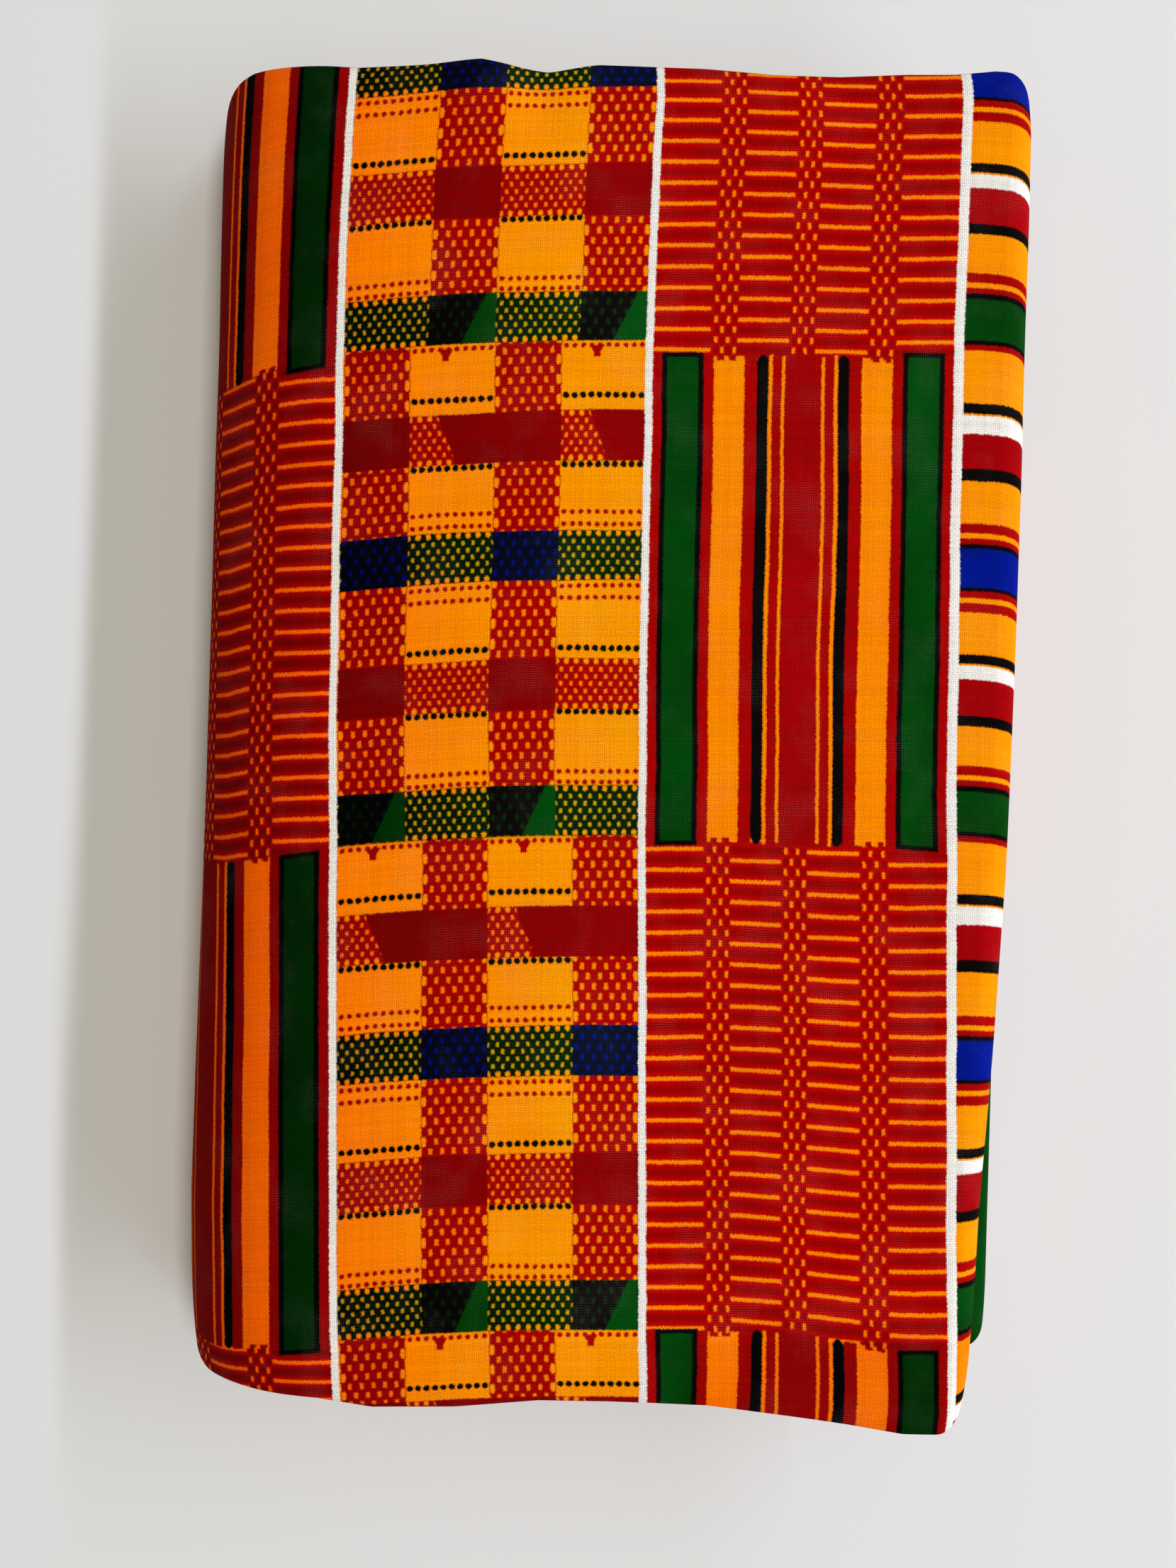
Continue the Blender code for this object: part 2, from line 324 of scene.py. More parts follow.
print("folding the cloth")
steps, grid = buildCloth()
stepCount, ringCount = len(steps), len(grid[0])
rowCount = len(outerRows) * 2 + len(outerShares)
topSteps = [i for i, s in enumerate(steps) if s[0] == "flat" and s[1] == flapCount - 1]
segmentLength = 5486.0 / flapCount    # a six yard piece, 5486 mm, in 32 equal segments

# The print's own coordinates in mm. Across the printed lines, from the middle white line, they
# follow the surface on the outer wrap; a hidden flap takes up one segment's length of print.
def scaleAt(y):
    return 229.0 / (260.0 - tableAt(sides, y, 4))    # a higher flap was drawn larger


def gapTo(i, row):
    a, b = grid[i - 1][row], grid[i][row]
    return math.hypot(b[0] - a[0], b[2] - a[2])


uOfRow = []
for row in range(rowCount):
    scale = scaleAt(grid[topSteps[60]][row][1])
    run, places = 0.0, [0.0]
    for i in range(1, stepCount):
        if not steps[i][5]:
            run += gapTo(i, row) * scale
        elif steps[i][0] == steps[i - 1][0] == "flat":
            run += (segmentLength - 6.0) / cloth["flatFaces"].get(steps[i][1], 5)
        else:
            run += gapTo(i, rowCount // 2)
        places.append(run)
    y = grid[topSteps[60]][row][1]
    lineX = tableAt(middleLine, y * scale) / scale
    for i in topSteps[1:]:
        a, b = grid[i - 1][row][0], grid[i][row][0]
        if a <= lineX <= b:
            start = places[i - 1] + (places[i] - places[i - 1]) * (lineX - a) / (b - a)
    uOfRow.append([p - start for p in places])

verts, printAt, selvages = [], [], []
for i in range(stepCount):
    lower = i > topSteps[-1] + 40 and max(steps[i][1:3]) < flapCount // 2
    nearY = min(p[1] for p in grid[i])
    for j, (x, y, z, row, selvage) in enumerate(grid[i]):
        verts.append(((x + centreShift[0]) * mm, (y + centreShift[1]) * mm, z * mm))
        u = uOfRow[row][i]
        sag = 0.001 * min(max(-12.0 - u, 0.0), 75.0) ** 2 + 0.009 * min(max(u - 64.0, 0.0), 16.0) ** 2
        v = y * scaleAt(y)
        if rowCount + 5 <= j < ringCount - 3:
            v = 2 * nearY * scaleAt(nearY) - v    # the inner face lies mirrored about the near fold
        if lower:                                 # the second quarter was folded on a little askew
            u += 11.3 - 0.085 * (min(v, 20.0) + 101.0)
            v += 8.0
        printAt.append((u, v + sag))
        selvages.append(selvage)
lowest = min(v[2] for v in verts)
verts = [(x, y, z - lowest) for x, y, z in verts]
print("ring", ringCount, "steps", stepCount)

# OFBake: the outer wrap takes most of the square, so that its print bakes sharp.
along = [0.0]
for i in range(1, stepCount):
    a, b = grid[i - 1][rowCount // 2], grid[i][rowCount // 2]
    gone = max(math.hypot(b[0] - a[0], b[2] - a[2]), 0.02)
    along.append(along[-1] + gone * (0.013 if steps[i][5] else 1.0))
along = [0.006 + 0.988 * a / along[-1] for a in along]
around = [0.0]
for j in range(1, ringCount + 1):
    if j < rowCount:
        middle = grid[topSteps[60]]
        gone = 0.92 * abs(middle[j][1] - middle[j - 1][1]) / (middle[0][1] - middle[rowCount - 1][1])
    else:
        gone = 0.08 / (ringCount - rowCount + 1)
    around.append(around[-1] + gone)
around = [0.002 + 0.996 * a / around[-1] for a in around]

faces, printLoops, bakeLoops = [], [], []
for i in range(stepCount - 1):
    for j in range(ringCount):
        k = (j + 1) % ringCount
        faces.append((i * ringCount + j, (i + 1) * ringCount + j, (i + 1) * ringCount + k, i * ringCount + k))
        for a, b in ((i, j), (i + 1, j), (i + 1, j + 1), (i, j + 1)):
            printLoops += printAt[a * ringCount + b % ringCount]
            bakeLoops += (along[a], around[b])
for i, inward in ((0, False), (stepCount - 1, True)):
    ring = list(range(i * ringCount, (i + 1) * ringCount))
    ring = ring[::-1] if inward else ring
    faces.append(ring)
    for v in ring:
        j = v - i * ringCount
        printLoops += printAt[v]
        outward = j < rowCount + 3
        edge = (0.0005 if outward else 0.004) if i == 0 else (0.9995 if outward else 0.996)
        share = (grid[i][0][1] - grid[i][j][1]) / (grid[i][0][1] - grid[i][rowCount - 1][1])
        share = min(max(share, 0.0), 1.0)
        bakeLoops += (edge, 0.02 + 0.9 * share)

mesh = bpy.data.meshes.new("folded_cloth")
mesh.from_pydata(verts, [], faces)
for name, loops in (("print", printLoops), ("OFBake", bakeLoops)):
    layer = mesh.uv_layers.new(name=name)
    layer.uv.foreach_set("vector", loops)
selvageLayer = mesh.attributes.new("selvage", "FLOAT", "POINT")
selvageLayer.data.foreach_set("value", selvages)
mesh.shade_smooth()
mesh.validate()
mesh.update()
kenteCloth = bpy.data.objects.new("folded_cloth", mesh)
bpy.context.scene.collection.objects.link(kenteCloth)

printed = {
    "yellow": "#FF9400", "stripeYellow": "#FF8900", "rung": "#FF8400", "spot": "#FF7E00",
    "red": "#A40100", "ladderRed": "#BA0100", "deepRed": "#880000",
    "centreRed": "#9E0104", "blockRed": "#870001", "bandRed": "#9F0005",
    "green": "#014209", "darkGreen": "#041F03", "lime": "#CC9E02",
    "blue": "#001588", "navy": "#060A20", "black": "#0A0606", "white": "#EFECE6",
    "strip": 62.6,             # mm from one white line to the next
    "whiteLine": (0.76, 0.98),     # half its width, on the left and on the right
    "threads": (0.40, 0.47),   # warp and weft spacing; really 0.35 and 0.42 mm, too fine to show
}


def printedCottonMaterial():
    # Roller-printed plain-weave cotton: matt, saturated inks whose edges step from thread to
    # thread, a fine grid of threads with pinholes painted dark as shade, and the odd pale thread top in the
    # dark inks.
    material = bpy.data.materials.new("roller-printed plain-weave cotton")
    material.use_nodes = True
    tree = material.node_tree
    tree.nodes.clear()
    add = partial(addNode, tree)
    ink = {name: linearColour(code) for name, code in printed.items() if isinstance(code, str)}
    strip = printed["strip"]

    place = add("UVMap", uv_map="print")
    # hand-drawn unevenness of the blocks, then the step from thread to thread
    drift = add("TexNoise", add("VectorMath", place, (0.03, 0.03, 0.0), operation="MULTIPLY"), None, 1.0, 2.0)
    drift = add("VectorMath", drift.outputs["Color"], (0.5, 0.5, 0.5), operation="SUBTRACT")
    drift = add("VectorMath", drift, (1.1, 1.1, 0.0), operation="MULTIPLY")
    close = add("TexNoise", add("VectorMath", place, (0.35, 0.35, 0.0), operation="MULTIPLY"), None, 1.0, 1.0)
    close = add("VectorMath", close.outputs["Color"], (0.5, 0.5, 0.5), operation="SUBTRACT")
    close = add("VectorMath", close, (0.25, 0.25, 0.0), operation="MULTIPLY")
    raggedU = add("TexNoise", add("VectorMath", place, (0.5, 2.1, 0.0), operation="MULTIPLY"), None, 1.0, 0.0)
    raggedV = add("TexNoise", add("VectorMath", place, (2.5, 0.5, 4.0), operation="MULTIPLY"), None, 1.0, 0.0)
    ragged = add("CombineXYZ", raggedU, raggedV, 0.5)
    ragged = add("VectorMath", ragged, (0.5, 0.5, 0.5), operation="SUBTRACT")
    ragged = add("VectorMath", ragged, (0.34, 0.34, 0.0), operation="MULTIPLY")
    moved = add("VectorMath", place, drift, operation="ADD")
    moved = add("VectorMath", moved, close, operation="ADD")
    moved = add("VectorMath", moved, ragged, operation="ADD")
    # the ink bleeds a little: neighbouring points of the cloth read the print from either side
    bleed = add("TexWhiteNoise", add("VectorMath", place, (97.0, 89.0, 0.0), operation="MULTIPLY"))
    bleed = add("VectorMath", bleed.outputs["Color"], (0.5, 0.5, 0.5), operation="SUBTRACT")
    bleed = add("VectorMath", bleed, (0.34, 0.34, 0.0), operation="MULTIPLY")
    moved = add("VectorMath", moved, bleed, operation="ADD")
    where = add("SeparateXYZ", moved)
    u, v = where.outputs["X"], where.outputs["Y"]

    turn = add("Math", u, 4 * strip, 0.0, operation="WRAP")      # the strips come round in fours
    us = add("Math", u, strip, 0.0, operation="WRAP")            # mm into this strip
    isMiddle = add("Math", turn, strip, operation="LESS_THAN")
    isBand = add("Math", turn, 1.5 * strip, 0.5 * strip, operation="COMPARE")
    isOther = add("Math", turn, 2.5 * strip, 0.5 * strip, operation="COMPARE")
    isCheck = add("Math", turn, 3.0 * strip, operation="GREATER_THAN")

    # Strip of stripes and ladders, each 99.7 mm long; the stripes mirror about its middle
    sectionLong = 99.7
    mid = add("Math", add("Math", us, 31.2, operation="SUBTRACT"), operation="ABSOLUTE")
    # the middle strip's sections and rungs hang lower towards its right side, most by the near edge
    hang = add("Math", add("Math", us, 13.0, operation="SUBTRACT"), 0.0, operation="MAXIMUM")
    hang = add("Math", hang, 2.0, operation="POWER")
    hang = add("Math", hang, add("MapRange", v, -12.0, 87.0, 0.0008, 0.00033), operation="MULTIPLY")
    nearHang = add("MapRange", us, 27.0, 50.0, -1.9, 1.3)
    hang = add("MixRGB", add("Math", v, -62.0, operation="LESS_THAN"), hang, nearHang)
    # how far off the line the right-hand green stripes end, in the middle strip and in the left one,
    # and how far off the left one's sections are, by where they lie along the cloth
    offStops = ((0.0, 0.9, 0.7, -0.5), (88.0, -0.2, 0.6, -2.4), (187.0, -0.6, 0.9, -0.6))
    offs = setStops(
        add("ValToRGB", add("MapRange", v, -150.0, 150.0)),
        [(at / 300, tuple((off + 3) / 8 for off in off3) + (1.0,)) for at, *off3 in offStops],
    )
    offs = add("SeparateColor", offs)
    otherOff = add("Math", offs.outputs[2], 8.0, -3.0, operation="MULTIPLY_ADD")
    section = add("Math", hang, isMiddle, v, operation="MULTIPLY_ADD")
    section = add("Math", otherOff, isOther, section, operation="MULTIPLY_ADD")
    section = add("Math", section, 37.45, operation="SUBTRACT")
    rungHang = add("MapRange", v, -16.0, 87.0, 1.4, 0.6)
    rungHang = add("Math", rungHang, add("MapRange", v, -110.0, -16.0, 2.65, 0.0), operation="ADD")
    rungSide = add("MapRange", us, 8.0, 58.0, 0.1, 1.0, interpolation_type="SMOOTHSTEP")
    rungHang = add("Math", rungHang, rungSide, operation="MULTIPLY")
    rungLine = add("Math", rungHang, isMiddle, v, operation="MULTIPLY_ADD")
    otherHang = add("MapRange", us, 47.0, 61.0, 0.0, 1.2)
    otherHang = add("Math", otherHang, add("MapRange", v, -112.0, 87.0, 1.5, 0.0), operation="ADD")
    rungLine = add("Math", otherHang, isOther, rungLine, operation="MULTIPLY_ADD")
    section = add("Math", isOther, -sectionLong, section, operation="MULTIPLY_ADD")
    inside = add(
        "Math", sectionLong / 2, add("Math", section, sectionLong, operation="PINGPONG"), operation="SUBTRACT"
    )
    stripeStops = (
        (0.0, "centreRed"), (3.68, "stripeYellow"), (4.4, "red"), (6.25, "stripeYellow"), (7.0, "black"),
        (9.4, "red"), (11.9, "stripeYellow"), (18.0, "red"), (20.1, "black"), (21.2, "green"),
        (27.5, "black"), (28.6, "red"),
    )
    stripes = setStops(
        add("ValToRGB", add("Math", mid, 31.3, operation="DIVIDE")),
        [(at / 31.3, ink[name]) for at, name in stripeStops],
    )
    # how far inside the section each stripe stops
    endStops = (
        (0.0, 0.2), (3.68, 0.8), (4.4, 0.3), (6.25, 0.4), (7.0, 0.0), (9.4, 0.5), (11.9, 0.7),
        (18.0, 0.4), (20.1, 0.0),
    )
    ends = setStops(
        add("ValToRGB", add("Math", mid, 31.3, operation="DIVIDE")),
        [(at / 31.3, (value, value, value, 1.0)) for at, value in endStops],
    )
    # the black stripe's round end
    blackOff = add("Math", mid, 8.2, operation="SUBTRACT")
    blackOff = add("Math", blackOff, blackOff, operation="MULTIPLY")
    blackOff = add("Math", blackOff, 0.9, 0.3, operation="MULTIPLY_ADD")
    isBlack = add("Math", mid, 8.2, 1.2, operation="COMPARE")
    endAt = add("Math", isBlack, blackOff, ends, operation="MULTIPLY_ADD")
    # two red prongs of each tick column run on into the yellow stripe
    prongOne = add("Math", mid, 14.5, 0.85, operation="COMPARE")
    prongTwo = add("Math", mid, 16.9, 0.85, operation="COMPARE")
    prongs = add("Math", prongOne, prongTwo, operation="ADD")
    endAt = add("Math", prongs, 0.9, endAt, operation="MULTIPLY_ADD")
    # the green stripe's ends have a black outline
    greenOff = add("Math", mid, 24.35, 4.25, operation="COMPARE")
    endOff = add("MixRGB", isOther, offs, offs.outputs[1])
    endOff = add("Math", endOff, 8.0, -3.0, operation="MULTIPLY_ADD")
    endOff = add("Math", endOff, add("Math", us, 31.2, operation="GREATER_THAN"), operation="MULTIPLY")
    lowered = add("Math", endOff, section, operation="ADD")
    within = add(
        "Math", sectionLong / 2, add("Math", lowered, sectionLong, operation="PINGPONG"), operation="SUBTRACT"
    )
    reach = add("MixRGB", greenOff, inside, within)
    isStripes = add("Math", reach, endAt, operation="GREATER_THAN")
    outline = add("Math", within, 1.0, operation="LESS_THAN")
    stripes = add("MixRGB", add("Math", greenOff, outline, operation="MULTIPLY"), stripes, ink["black"])

    # Ladder: sixteen columns, each with its middle, half width and whether it is half a rung on
    ladderStops = (
        (0.0, 6.3, 6.0, 0), (12.8, 13.4, 0.3, 1), (14.0, 14.6, 0.3, 0), (15.2, 15.8, 0.3, 1),
        (16.4, 17.05, 0.3, 0), (17.5, 22.9, 5.1, 1), (28.4, 29.0, 0.3, 0), (29.6, 30.15, 0.3, 1),
        (30.8, 31.4, 0.3, 0), (32.0, 32.65, 0.3, 1), (33.1, 38.7, 5.3, 0), (44.3, 45.0, 0.3, 1),
        (45.7, 46.3, 0.3, 0), (46.9, 47.5, 0.3, 1), (48.2, 48.85, 0.3, 0), (49.5, 56.1, 6.2, 1),
    )
    ladder = setStops(
        add("ValToRGB", add("Math", us, strip, operation="DIVIDE")),
        [(at / strip, (centre / 64, half / 64, odd, 1.0)) for at, centre, half, odd in ladderStops],
    )
    ladder = add("SeparateColor", ladder)
    offU = add("Math", add("Math", ladder, -64.0, us, operation="MULTIPLY_ADD"), operation="ABSOLUTE")
    halfU = add("Math", ladder.outputs[1], 64.0, operation="MULTIPLY")
    rungV = add("Math", ladder.outputs[2], -2.05, rungLine, operation="MULTIPLY_ADD")
    offV = add("Math", add("Math", rungV, 87.9, operation="SUBTRACT"), 2.102, operation="PINGPONG")
    isTick = add("Math", halfU, 1.0, operation="LESS_THAN")
    rung = add("Math", offV, add("Math", isTick, 0.22, 0.38, operation="MULTIPLY_ADD"), operation="LESS_THAN")
    rung = add("Math", rung, add("Math", offU, halfU, operation="LESS_THAN"), operation="MULTIPLY")
    shade = add("MapRange", offV, 0.7, 1.7, 0.0, 0.75)
    ground = add("MixRGB", shade, ink["ladderRed"], ink["deepRed"])
    rungs = add("MixRGB", rung, ground, ink["rung"])
    stripB = add("MixRGB", isStripes, rungs, stripes)

    # Strip of bands: a green half and a blue half, 49.8 mm each, down from a white band
    halfBand = 49.8
    greenHalf = (
        (0.0, "white"), (1.5, "bandRed"), (8.8, "black"), (11.0, "yellow"), (19.0, "red"), (20.9, "yellow"),
        (21.8, "red"), (23.1, "black"), (24.2, "green"), (32.4, "black"), (33.4, "red"), (34.5, "yellow"),
        (45.0, "black"), (47.2, "yellow"), (47.6, "white"),
    )
    blueHalf = (
        (0.0, "white"), (1.4, "bandRed"), (8.5, "black"), (10.9, "yellow"), (19.7, "red"), (21.7, "yellow"),
        (22.6, "red"), (23.9, "black"), (24.9, "blue"), (32.6, "black"), (33.4, "red"), (34.7, "yellow"),
        (35.6, "red"), (37.6, "yellow"), (46.2, "black"), (48.2, "yellow"), (48.5, "white"),
    )
    bandV = add("Math", v, add("MapRange", v, -125.0, -60.0, 1.7, 0.0), operation="ADD")
    down = add("Math", add("Math", 22.75, bandV, operation="SUBTRACT"), 2 * halfBand, 0.0, operation="WRAP")
    share = add("Math", add("Math", down, halfBand, 0.0, operation="WRAP"), halfBand, operation="DIVIDE")
    halves = [
        setStops(add("ValToRGB", share), [(at / halfBand, ink[name]) for at, name in stops])
        for stops in (greenHalf, blueHalf)
    ]
    stripC = add("MixRGB", add("Math", down, halfBand, operation="GREATER_THAN"), *halves)

    # Strip of yellow blocks and checks, whose columns change places every 100 mm
    rows = add("Math", v, 189.8, -10.2, operation="WRAP")
    swapped = add("Math", rows, 89.7, operation="LESS_THAN")
    w = add("Math", add("Math", v, 10.2, operation="ADD"), 100.0, 0.0, operation="WRAP")
    q = add("Math", swapped, -13.6, us, operation="MULTIPLY_ADD")
    q = add("Math", add("Math", q, 0.9, operation="SUBTRACT"), 30.5, 0.0, operation="WRAP")
    checkColumn = add("Math", q, 17.0, operation="GREATER_THAN")
    c = add("Math", q, 17.0, operation="SUBTRACT")
    # full-width rows: where, middle, kind 1 green, 2 red, 3 blue, 4 red cut slantwise
    rowStops = ((0.0, 4.95, 1), (18.0, 30.5, 2), (43.5, 56.45, 3), (68.5, 80.6, 4), (92.0, 104.95, 1))
    rowOf = setStops(
        add("ValToRGB", add("Math", w, 100.0, operation="DIVIDE")),
        [(at / 100, (middle / 200, kind / 8, 0.0, 1.0)) for at, middle, kind in rowStops],
    )
    rowOf = add("SeparateColor", rowOf)
    offRow = add("Math", add("Math", rowOf, -200.0, w, operation="MULTIPLY_ADD"), operation="ABSOLUTE")
    offRowSigned = add("Math", rowOf, -200.0, w, operation="MULTIPLY_ADD")
    kind = add("Math", rowOf.outputs[1], 8.0, operation="MULTIPLY")
    isGreen, isBlue, isSlant = (add("Math", kind, k, 0.3, operation="COMPARE") for k in (1.0, 3.0, 4.0))
    # dotted lines: where, middle, black, right across
    dotStops = (
        (0.0, 10.75, 0, 0), (11.8, 12.9, 0, 0), (18.9, 24.85, 1, 0), (31.0, 37.65, 1, 0), (42.7, 47.75, 0, 0),
        (49.0, 50.2, 0, 0), (56.5, 62.8, 0, 0), (64.0, 65.3, 0, 0), (70.0, 74.8, 1, 0), (81.7, 88.65, 1, 0),
        (93.8, 98.9, 0, 1),
    )
    dots = setStops(
        add("ValToRGB", add("Math", w, 100.0, operation="DIVIDE")),
        [(at / 100, (middle / 100, black, across, 1.0)) for at, middle, black, across in dotStops],
    )
    dots = add("SeparateColor", dots)
    dotV = add("Math", dots, -100.0, w, operation="MULTIPLY_ADD")
    dotU = add("Math", add("Math", q, 0.85, operation="SUBTRACT"), 0.85, operation="PINGPONG")
    away = add("Math", add("Math", dotU, dotU, operation="MULTIPLY"), None, None, operation="ADD")
    tree.links.new(add("Math", dotV, dotV, operation="MULTIPLY").outputs[0], away.inputs[1])
    radius = add("Math", dots.outputs[1], 0.17, 0.29, operation="MULTIPLY_ADD")     # squared
    dot = add("Math", away, radius, operation="LESS_THAN")
    dotInk = add("MixRGB", dots.outputs[1], ink["red"], ink["black"])
    checkWaves = (
        (add("Math", c, 0.75, operation="SUBTRACT"), 2.4, add("Math", w, 0.26, operation="ADD"), 4.1, 0.56),
        (q, 2.0, offRowSigned, 2.9, 0.60),
    )
    blobs, spots = [], []
    for overU, periodU, overV, periodV, edge in checkWaves:
        waveU = add(
            "Math", add("Math", overU, 2 * math.pi / periodU, operation="MULTIPLY"), operation="COSINE"
        )
        waveV = add(
            "Math", add("Math", overV, 2 * math.pi / periodV, operation="MULTIPLY"), operation="COSINE"
        )
        both = add("Math", waveU, waveV, operation="MULTIPLY")
        sizes = (add("Math", wave, operation="ABSOLUTE") for wave in (waveU, waveV))
        spot = add("MapRange", add("Math", *sizes, 0.25, operation="SMOOTH_MIN"), edge - 0.08, edge + 0.08)
        blobs.append(both)
        spots.append(add("Math", add("Math", both, 0.0, operation="LESS_THAN"), spot, operation="MULTIPLY"))
    # at the column's two edges the blobs stand out against the yellow
    offMiddle = add("Math", add("Math", c, 6.75, operation="SUBTRACT"), operation="ABSOLUTE")
    edgeGap = add("Math", offMiddle, 5.8, operation="GREATER_THAN")
    edgeGap = add("Math", edgeGap, add("Math", blobs[0], -0.05, operation="LESS_THAN"), operation="MULTIPLY")
    inRow = add("Math", offRow, 5.15, operation="LESS_THAN")
    rowGap = add("Math", offRow, 4.15, operation="GREATER_THAN")
    rowGap = add("Math", rowGap, add("Math", blobs[1], -0.1, operation="LESS_THAN"), operation="MULTIPLY")

    # a red tick hangs from the dots below each green row
    tickHalf = add("MapRange", w, 97.5, 98.8, 0.7, 1.5)
    tickOff = add("Math", add("Math", q, 7.1, operation="SUBTRACT"), operation="ABSOLUTE")
    tick = add("Math", tickOff, tickHalf, operation="LESS_THAN")
    tick = add("Math", tick, add("Math", w, 97.7, 1.2, operation="COMPARE"), operation="MULTIPLY")

    yellowColumn = add("MixRGB", dot, ink["yellow"], dotInk)
    yellowColumn = add("MixRGB", tick, yellowColumn, ink["red"])
    smallRow = add("MixRGB", spots[1], ink["red"], ink["spot"])
    smallGreen = add("MixRGB", spots[1], ink["darkGreen"], ink["lime"])
    # the slanted edge between the small check and solid red, which leans left at its top
    slantAt = add("Math", offRowSigned, -0.4, 7.55, operation="MULTIPLY_ADD")
    pastSlant = add("Math", q, slantAt, operation="GREATER_THAN")
    redPart = add("Math", isSlant, pastSlant, operation="MULTIPLY")
    redOrGreen = add("Math", isGreen, isBlue, operation="ADD")
    rowInk = add("MixRGB", redOrGreen, smallRow, smallGreen)
    rowInk = add("MixRGB", redPart, rowInk, ink["blockRed"])
    rowGap = add("Math", rowGap, redPart, operation="GREATER_THAN")
    yellowColumn = add("MixRGB", add("Math", inRow, rowGap, operation="GREATER_THAN"), yellowColumn, rowInk)

    checks = add("MixRGB", spots[0], ink["red"], ink["spot"])
    checks = add("MixRGB", edgeGap, checks, ink["yellow"])
    acrossDot = add("Math", dot, dots.outputs[2], operation="MULTIPLY")
    ovals = add("MapRange", blobs[0], 0.35, 0.75, 0.0, 1.0)
    blueBlock = add("MixRGB", add("Math", ovals, 0.6, operation="MULTIPLY"), ink["navy"], ink["blue"])
    # the green block's slanted edge leans right at its top
    slantGreen = add("Math", offRowSigned, 0.48, 9.1, operation="MULTIPLY_ADD")
    solidGreen = add("Math", c, slantGreen, operation="GREATER_THAN")
    darkBlock = add("MixRGB", add("Math", ovals, 0.35, operation="MULTIPLY"), ink["black"], ink["green"])
    greenBlock = add("MixRGB", solidGreen, darkBlock, ink["green"])
    block = add("MixRGB", isBlue, ink["blockRed"], blueBlock)
    block = add("MixRGB", isGreen, block, greenBlock)
    checks = add("MixRGB", inRow, checks, block)
    stripA = add("MixRGB", checkColumn, yellowColumn, checks)
    stripA = add("MixRGB", acrossDot, stripA, ink["red"])

    design = add("MixRGB", isBand, stripB, stripC)
    design = add("MixRGB", isCheck, design, stripA)
    lineOff = add("Math", u, 0.5 * strip, operation="PINGPONG")
    lineHalf = add("MapRange", u, 40.0, 50.0, *printed["whiteLine"])
    design = add("MixRGB", add("Math", lineOff, lineHalf, operation="LESS_THAN"), design, ink["white"])
    design = add("MixRGB", add("Attribute", attribute_name="selvage").outputs["Fac"], design, ink["white"])

    # Weave: warp and weft cross over and under, each a little uneven
    warp, weft = printed["threads"]
    wander = add(
        "TexNoise", add("VectorMath", place, (0.25, 0.25, 0.0), operation="MULTIPLY"), None, 1.0, 2.0
    )
    wander = add("VectorMath", wander.outputs["Color"], (0.5, 0.5, 0.5), operation="SUBTRACT")
    wander = add("VectorMath", wander, (0.5, 0.5, 0.0), operation="MULTIPLY")
    slub = add("TexNoise", add("VectorMath", place, (1.1, 1.3, 0.0), operation="MULTIPLY"), None, 1.0, 1.0)
    slub = add("VectorMath", slub.outputs["Color"], (0.5, 0.5, 0.5), operation="SUBTRACT")
    slub = add("VectorMath", slub, (0.35, 0.35, 0.0), operation="MULTIPLY")
    wander = add("VectorMath", wander, slub, operation="ADD")
    threads = add("SeparateXYZ", add("VectorMath", place, wander, operation="ADD"))
    sineU = add(
        "Math", add("Math", threads.outputs["X"], math.pi / warp, operation="MULTIPLY"), operation="SINE"
    )
    sineV = add(
        "Math", add("Math", threads.outputs["Y"], math.pi / weft, operation="MULTIPLY"), operation="SINE"
    )
    overUnder = add("Math", add("Math", sineU, sineV, operation="MULTIPLY"), 0.0, operation="GREATER_THAN")
    riseU = add("Math", sineU, operation="ABSOLUTE")
    riseV = add("Math", sineV, operation="ABSOLUTE")
    warpTop = add(
        "Math", riseU, add("Math", riseV, 0.45, 0.55, operation="MULTIPLY_ADD"), operation="MULTIPLY"
    )
    weftTop = add(
        "Math", riseV, add("Math", riseU, 0.45, 0.55, operation="MULTIPLY_ADD"), operation="MULTIPLY"
    )
    height = add("MixRGB", overUnder, weftTop, warpTop)
    hole = add("Math", add("Math", riseU, riseV, operation="ADD"), 0.62, operation="LESS_THAN")

    # each thread took the ink a little differently
    numberU = add("Math", add("Math", threads.outputs["X"], warp, operation="DIVIDE"), operation="FLOOR")
    numberV = add("Math", add("Math", threads.outputs["Y"], weft, operation="DIVIDE"), operation="FLOOR")
    ownU = add("TexWhiteNoise", None, numberU, noise_dimensions="1D")
    ownV = add("TexWhiteNoise", None, numberV, noise_dimensions="1D")
    own = add("MapRange", add("MixRGB", overUnder, ownV, ownU), 0.0, 1.0, 0.90, 1.10)

    # the ink lies stronger in places; painted shade darkens and deepens the colour towards the left, away
    # from the light, most on the spine's slope
    patch = add(
        "TexNoise", add("VectorMath", place, (0.045, 0.045, 0.0), operation="MULTIPLY"), None, 1.0, 3.0
    )
    patch = add("MapRange", patch, 0.3, 0.7, -0.08, 0.08)
    printPlace = add("SeparateXYZ", place)
    paintedShadeGamma = add("MapRange", printPlace, -90.0, -5.0, 1.48, 0.93, interpolation_type="SMOOTHSTEP")
    paintedShadeGamma = add("Math", paintedShadeGamma, add("MapRange", printPlace, -5.0, 5.0, 0.0, 0.07), operation="ADD")
    # painted shade also darkens the colour by the near edge of the middle strip, where the cloth curves down
    nearEdgeShade = add("MapRange", printPlace.outputs["Y"], -107.0, -115.0, 0.0, 0.25)
    nearEdgeShade = add("Math", nearEdgeShade, add("MapRange", printPlace, 4.0, 14.0, 0.0, 1.0), operation="MULTIPLY")
    paintedShadeGamma = add("Math", paintedShadeGamma, nearEdgeShade, operation="ADD")
    # painted shade and the ink's real unevenness both go onto the print as one gamma
    design = add("Gamma", design, add("Math", paintedShadeGamma, patch, operation="ADD"))
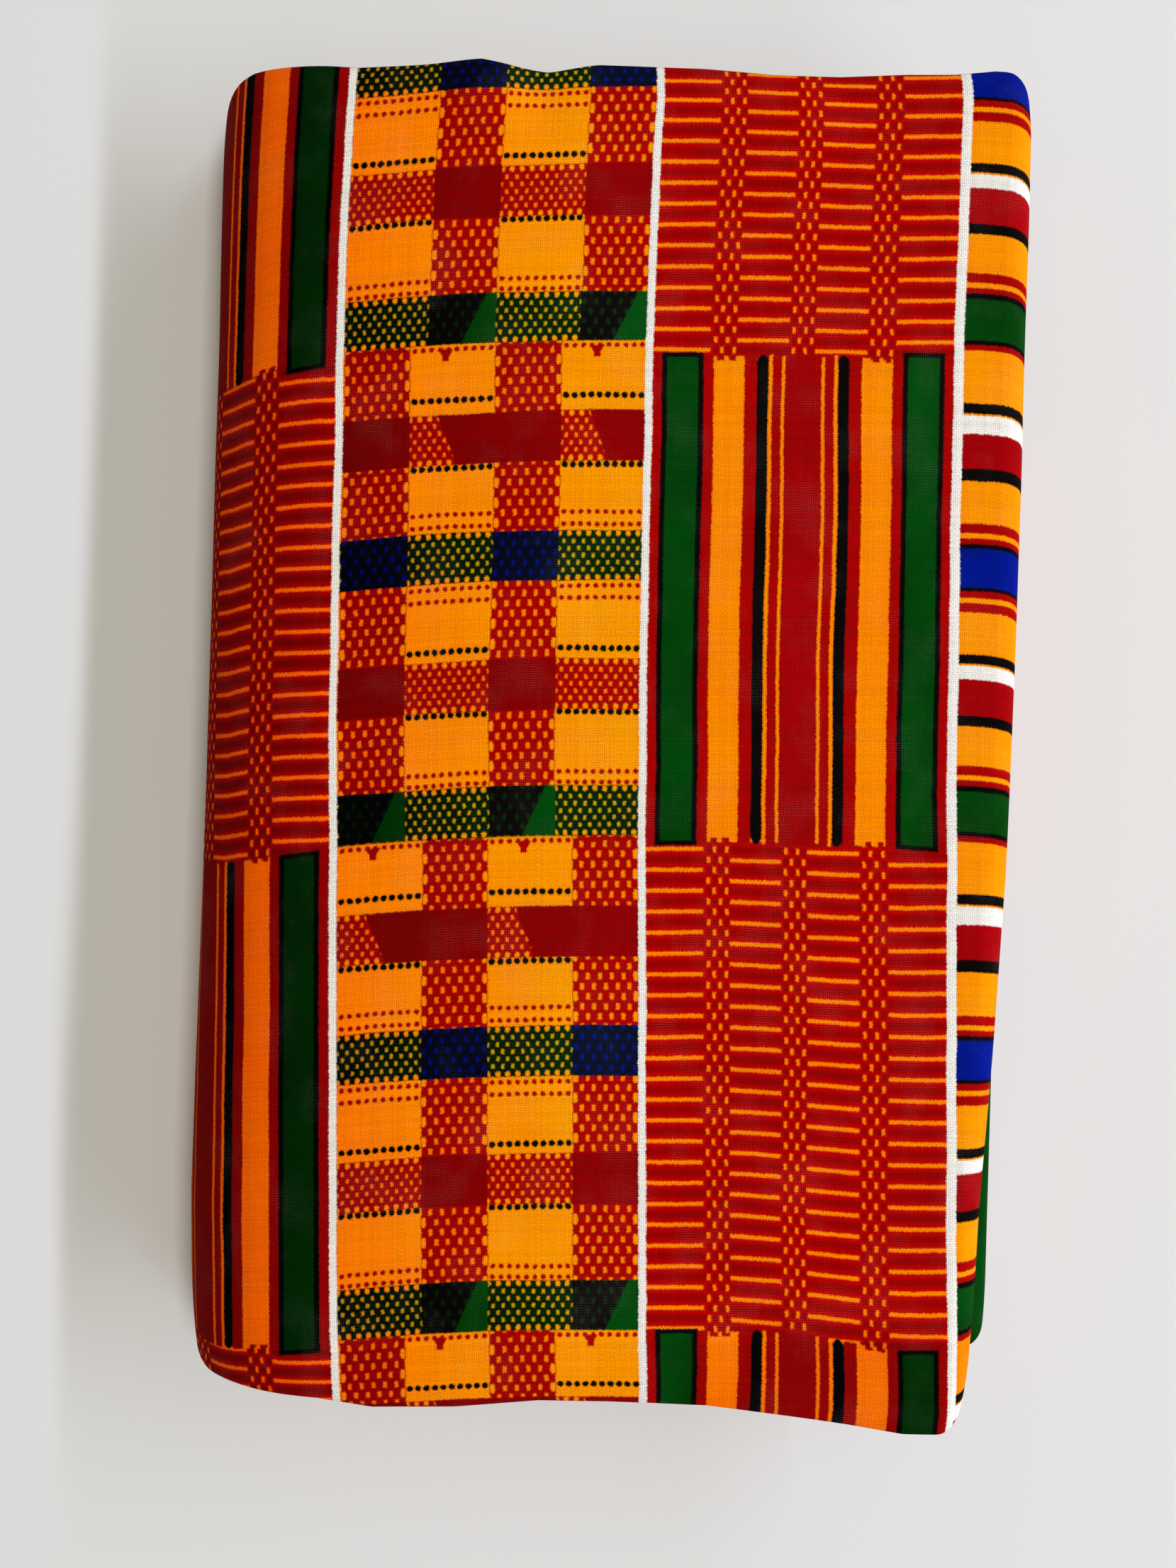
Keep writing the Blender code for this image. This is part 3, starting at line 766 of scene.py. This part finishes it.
    # painted shade and light: the colour darkens where the weave dips between threads and lightens on their
    # crowns; own adds each thread's real difference in ink
    weaveShadeAndThreadTone = add("Math", add("MapRange", height, 0.0, 1.0, 0.84, 1.06), own, operation="MULTIPLY")
    colour = add("VectorMath", design, weaveShadeAndThreadTone, operation="MULTIPLY")
    # pinholes where four threads meet, more open in places, painted near black as the shade inside them
    openness = add(
        "TexNoise", add("VectorMath", place, (1.1, 0.9, 3.0), operation="MULTIPLY"), None, 1.0, 1.0
    )
    openness = add("MapRange", openness, 0.35, 0.65, 0.10, 0.55)
    colour = add("MixRGB", add("Math", hole, openness, operation="MULTIPLY"), colour, linearColour("#0C0402"))
    # thread tops that the ink missed
    speck = add("TexNoise", add("VectorMath", place, (0.10, 0.08, 6.0), operation="MULTIPLY"), None, 1.0, 3.0)
    speck = add("MapRange", speck, 0.50, 0.72, 0.0, 0.05)
    top = add("MapRange", height, 0.70, 0.95, 0.0, 1.0)
    colour = add("MixRGB", add("Math", speck, top, operation="MULTIPLY"), colour, ink["white"])

    shader = add("BsdfPrincipled")
    shader.inputs["Roughness"].default_value = 0.85
    shader.inputs["IOR"].default_value = 1.45
    shader.inputs["Specular IOR Level"].default_value = 0.03
    tree.links.new(colour.outputs[0], shader.inputs["Base Color"])
    bump = add("Bump")
    bump.inputs["Strength"].default_value = 0.4
    bump.inputs["Distance"].default_value = 0.15 * mm
    tree.links.new(height.outputs[0], bump.inputs["Height"])
    tree.links.new(bump.outputs[0], shader.inputs["Normal"])
    tree.links.new(shader.outputs[0], add("OutputMaterial").inputs["Surface"])
    return material


print("printing the cotton")
mesh.materials.append(printedCottonMaterial())
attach(kenteCloth, "root")
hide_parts("kente_cloth")

studio = {
    "floor": "#DEDFE0",
    # a long low window to the right, a soft light above it, and the room
    "key": (3.40, 0.2, 2.09), "keySize": (10.0, 0.16), "keyPower": 243.0, "keyTint": "#EAEFFF",
    "fill": (0.89, 0.0, 2.44), "fillSize": (0.8, 0.8), "fillPower": 31.6, "fillTint": "#FFFCF8",
    "sky": 0.226, "skyTint": "#FFF2C8", "wall": "#E3E2E0",
    "eyeHeight": 0.260,        # the camera's height over the floor, straight above the photo's middle
    "lens": 26.0,
}

floorMesh = bpy.data.meshes.new("floor")
floorMesh.from_pydata([(-2, -2, 0), (2, -2, 0), (2, 2, 0), (-2, 2, 0)], [], [(0, 1, 2, 3)])
floor = bpy.data.objects.new("floor", floorMesh)
bpy.context.scene.collection.objects.link(floor)
paper = bpy.data.materials.new("matt studio paper")
paper.use_nodes = True
paper.node_tree.nodes["Principled BSDF"].inputs["Base Color"].default_value = linearColour(studio["floor"])
paper.node_tree.nodes["Principled BSDF"].inputs["Roughness"].default_value = 0.9
floorMesh.materials.append(paper)

for name in ("key", "fill"):
    light = bpy.data.lights.new(name, "AREA")
    light.shape = "RECTANGLE"
    light.size_y, light.size = studio[name + "Size"]
    light.energy = studio[name + "Power"]
    light.color = linearColour(studio[name + "Tint"])[:3]
    lamp = bpy.data.objects.new(name, light)
    lamp.location = studio[name]
    lamp.rotation_euler = (0.0, math.atan2(lamp.location.x, lamp.location.z), 0.0)
    bpy.context.scene.collection.objects.link(lamp)
world = bpy.data.worlds.new("studio")
world.use_nodes = True
world.node_tree.nodes.clear()
add = partial(addNode, world.node_tree)
room = add("Background", linearColour(studio["skyTint"]), studio["sky"])
wall = add("Background", linearColour(studio["wall"]), 1.0)    # what shows above the floor
shown = add("MixShader", add("LightPath").outputs["Is Camera Ray"], room, wall)
add("OutputWorld", shown)
bpy.context.scene.world = world

eye = bpy.data.cameras.new("eye")
eye.sensor_fit = "VERTICAL"
eye.sensor_height = 36.0
eye.lens = studio["lens"]
eye.clip_start = 0.01
camera = bpy.data.objects.new("eye", eye)
camera.location = (centreShift[0] * mm, centreShift[1] * mm, studio["eyeHeight"])
bpy.context.scene.collection.objects.link(camera)
bpy.context.scene.camera = camera
bpy.context.scene.view_settings.view_transform = "Standard"
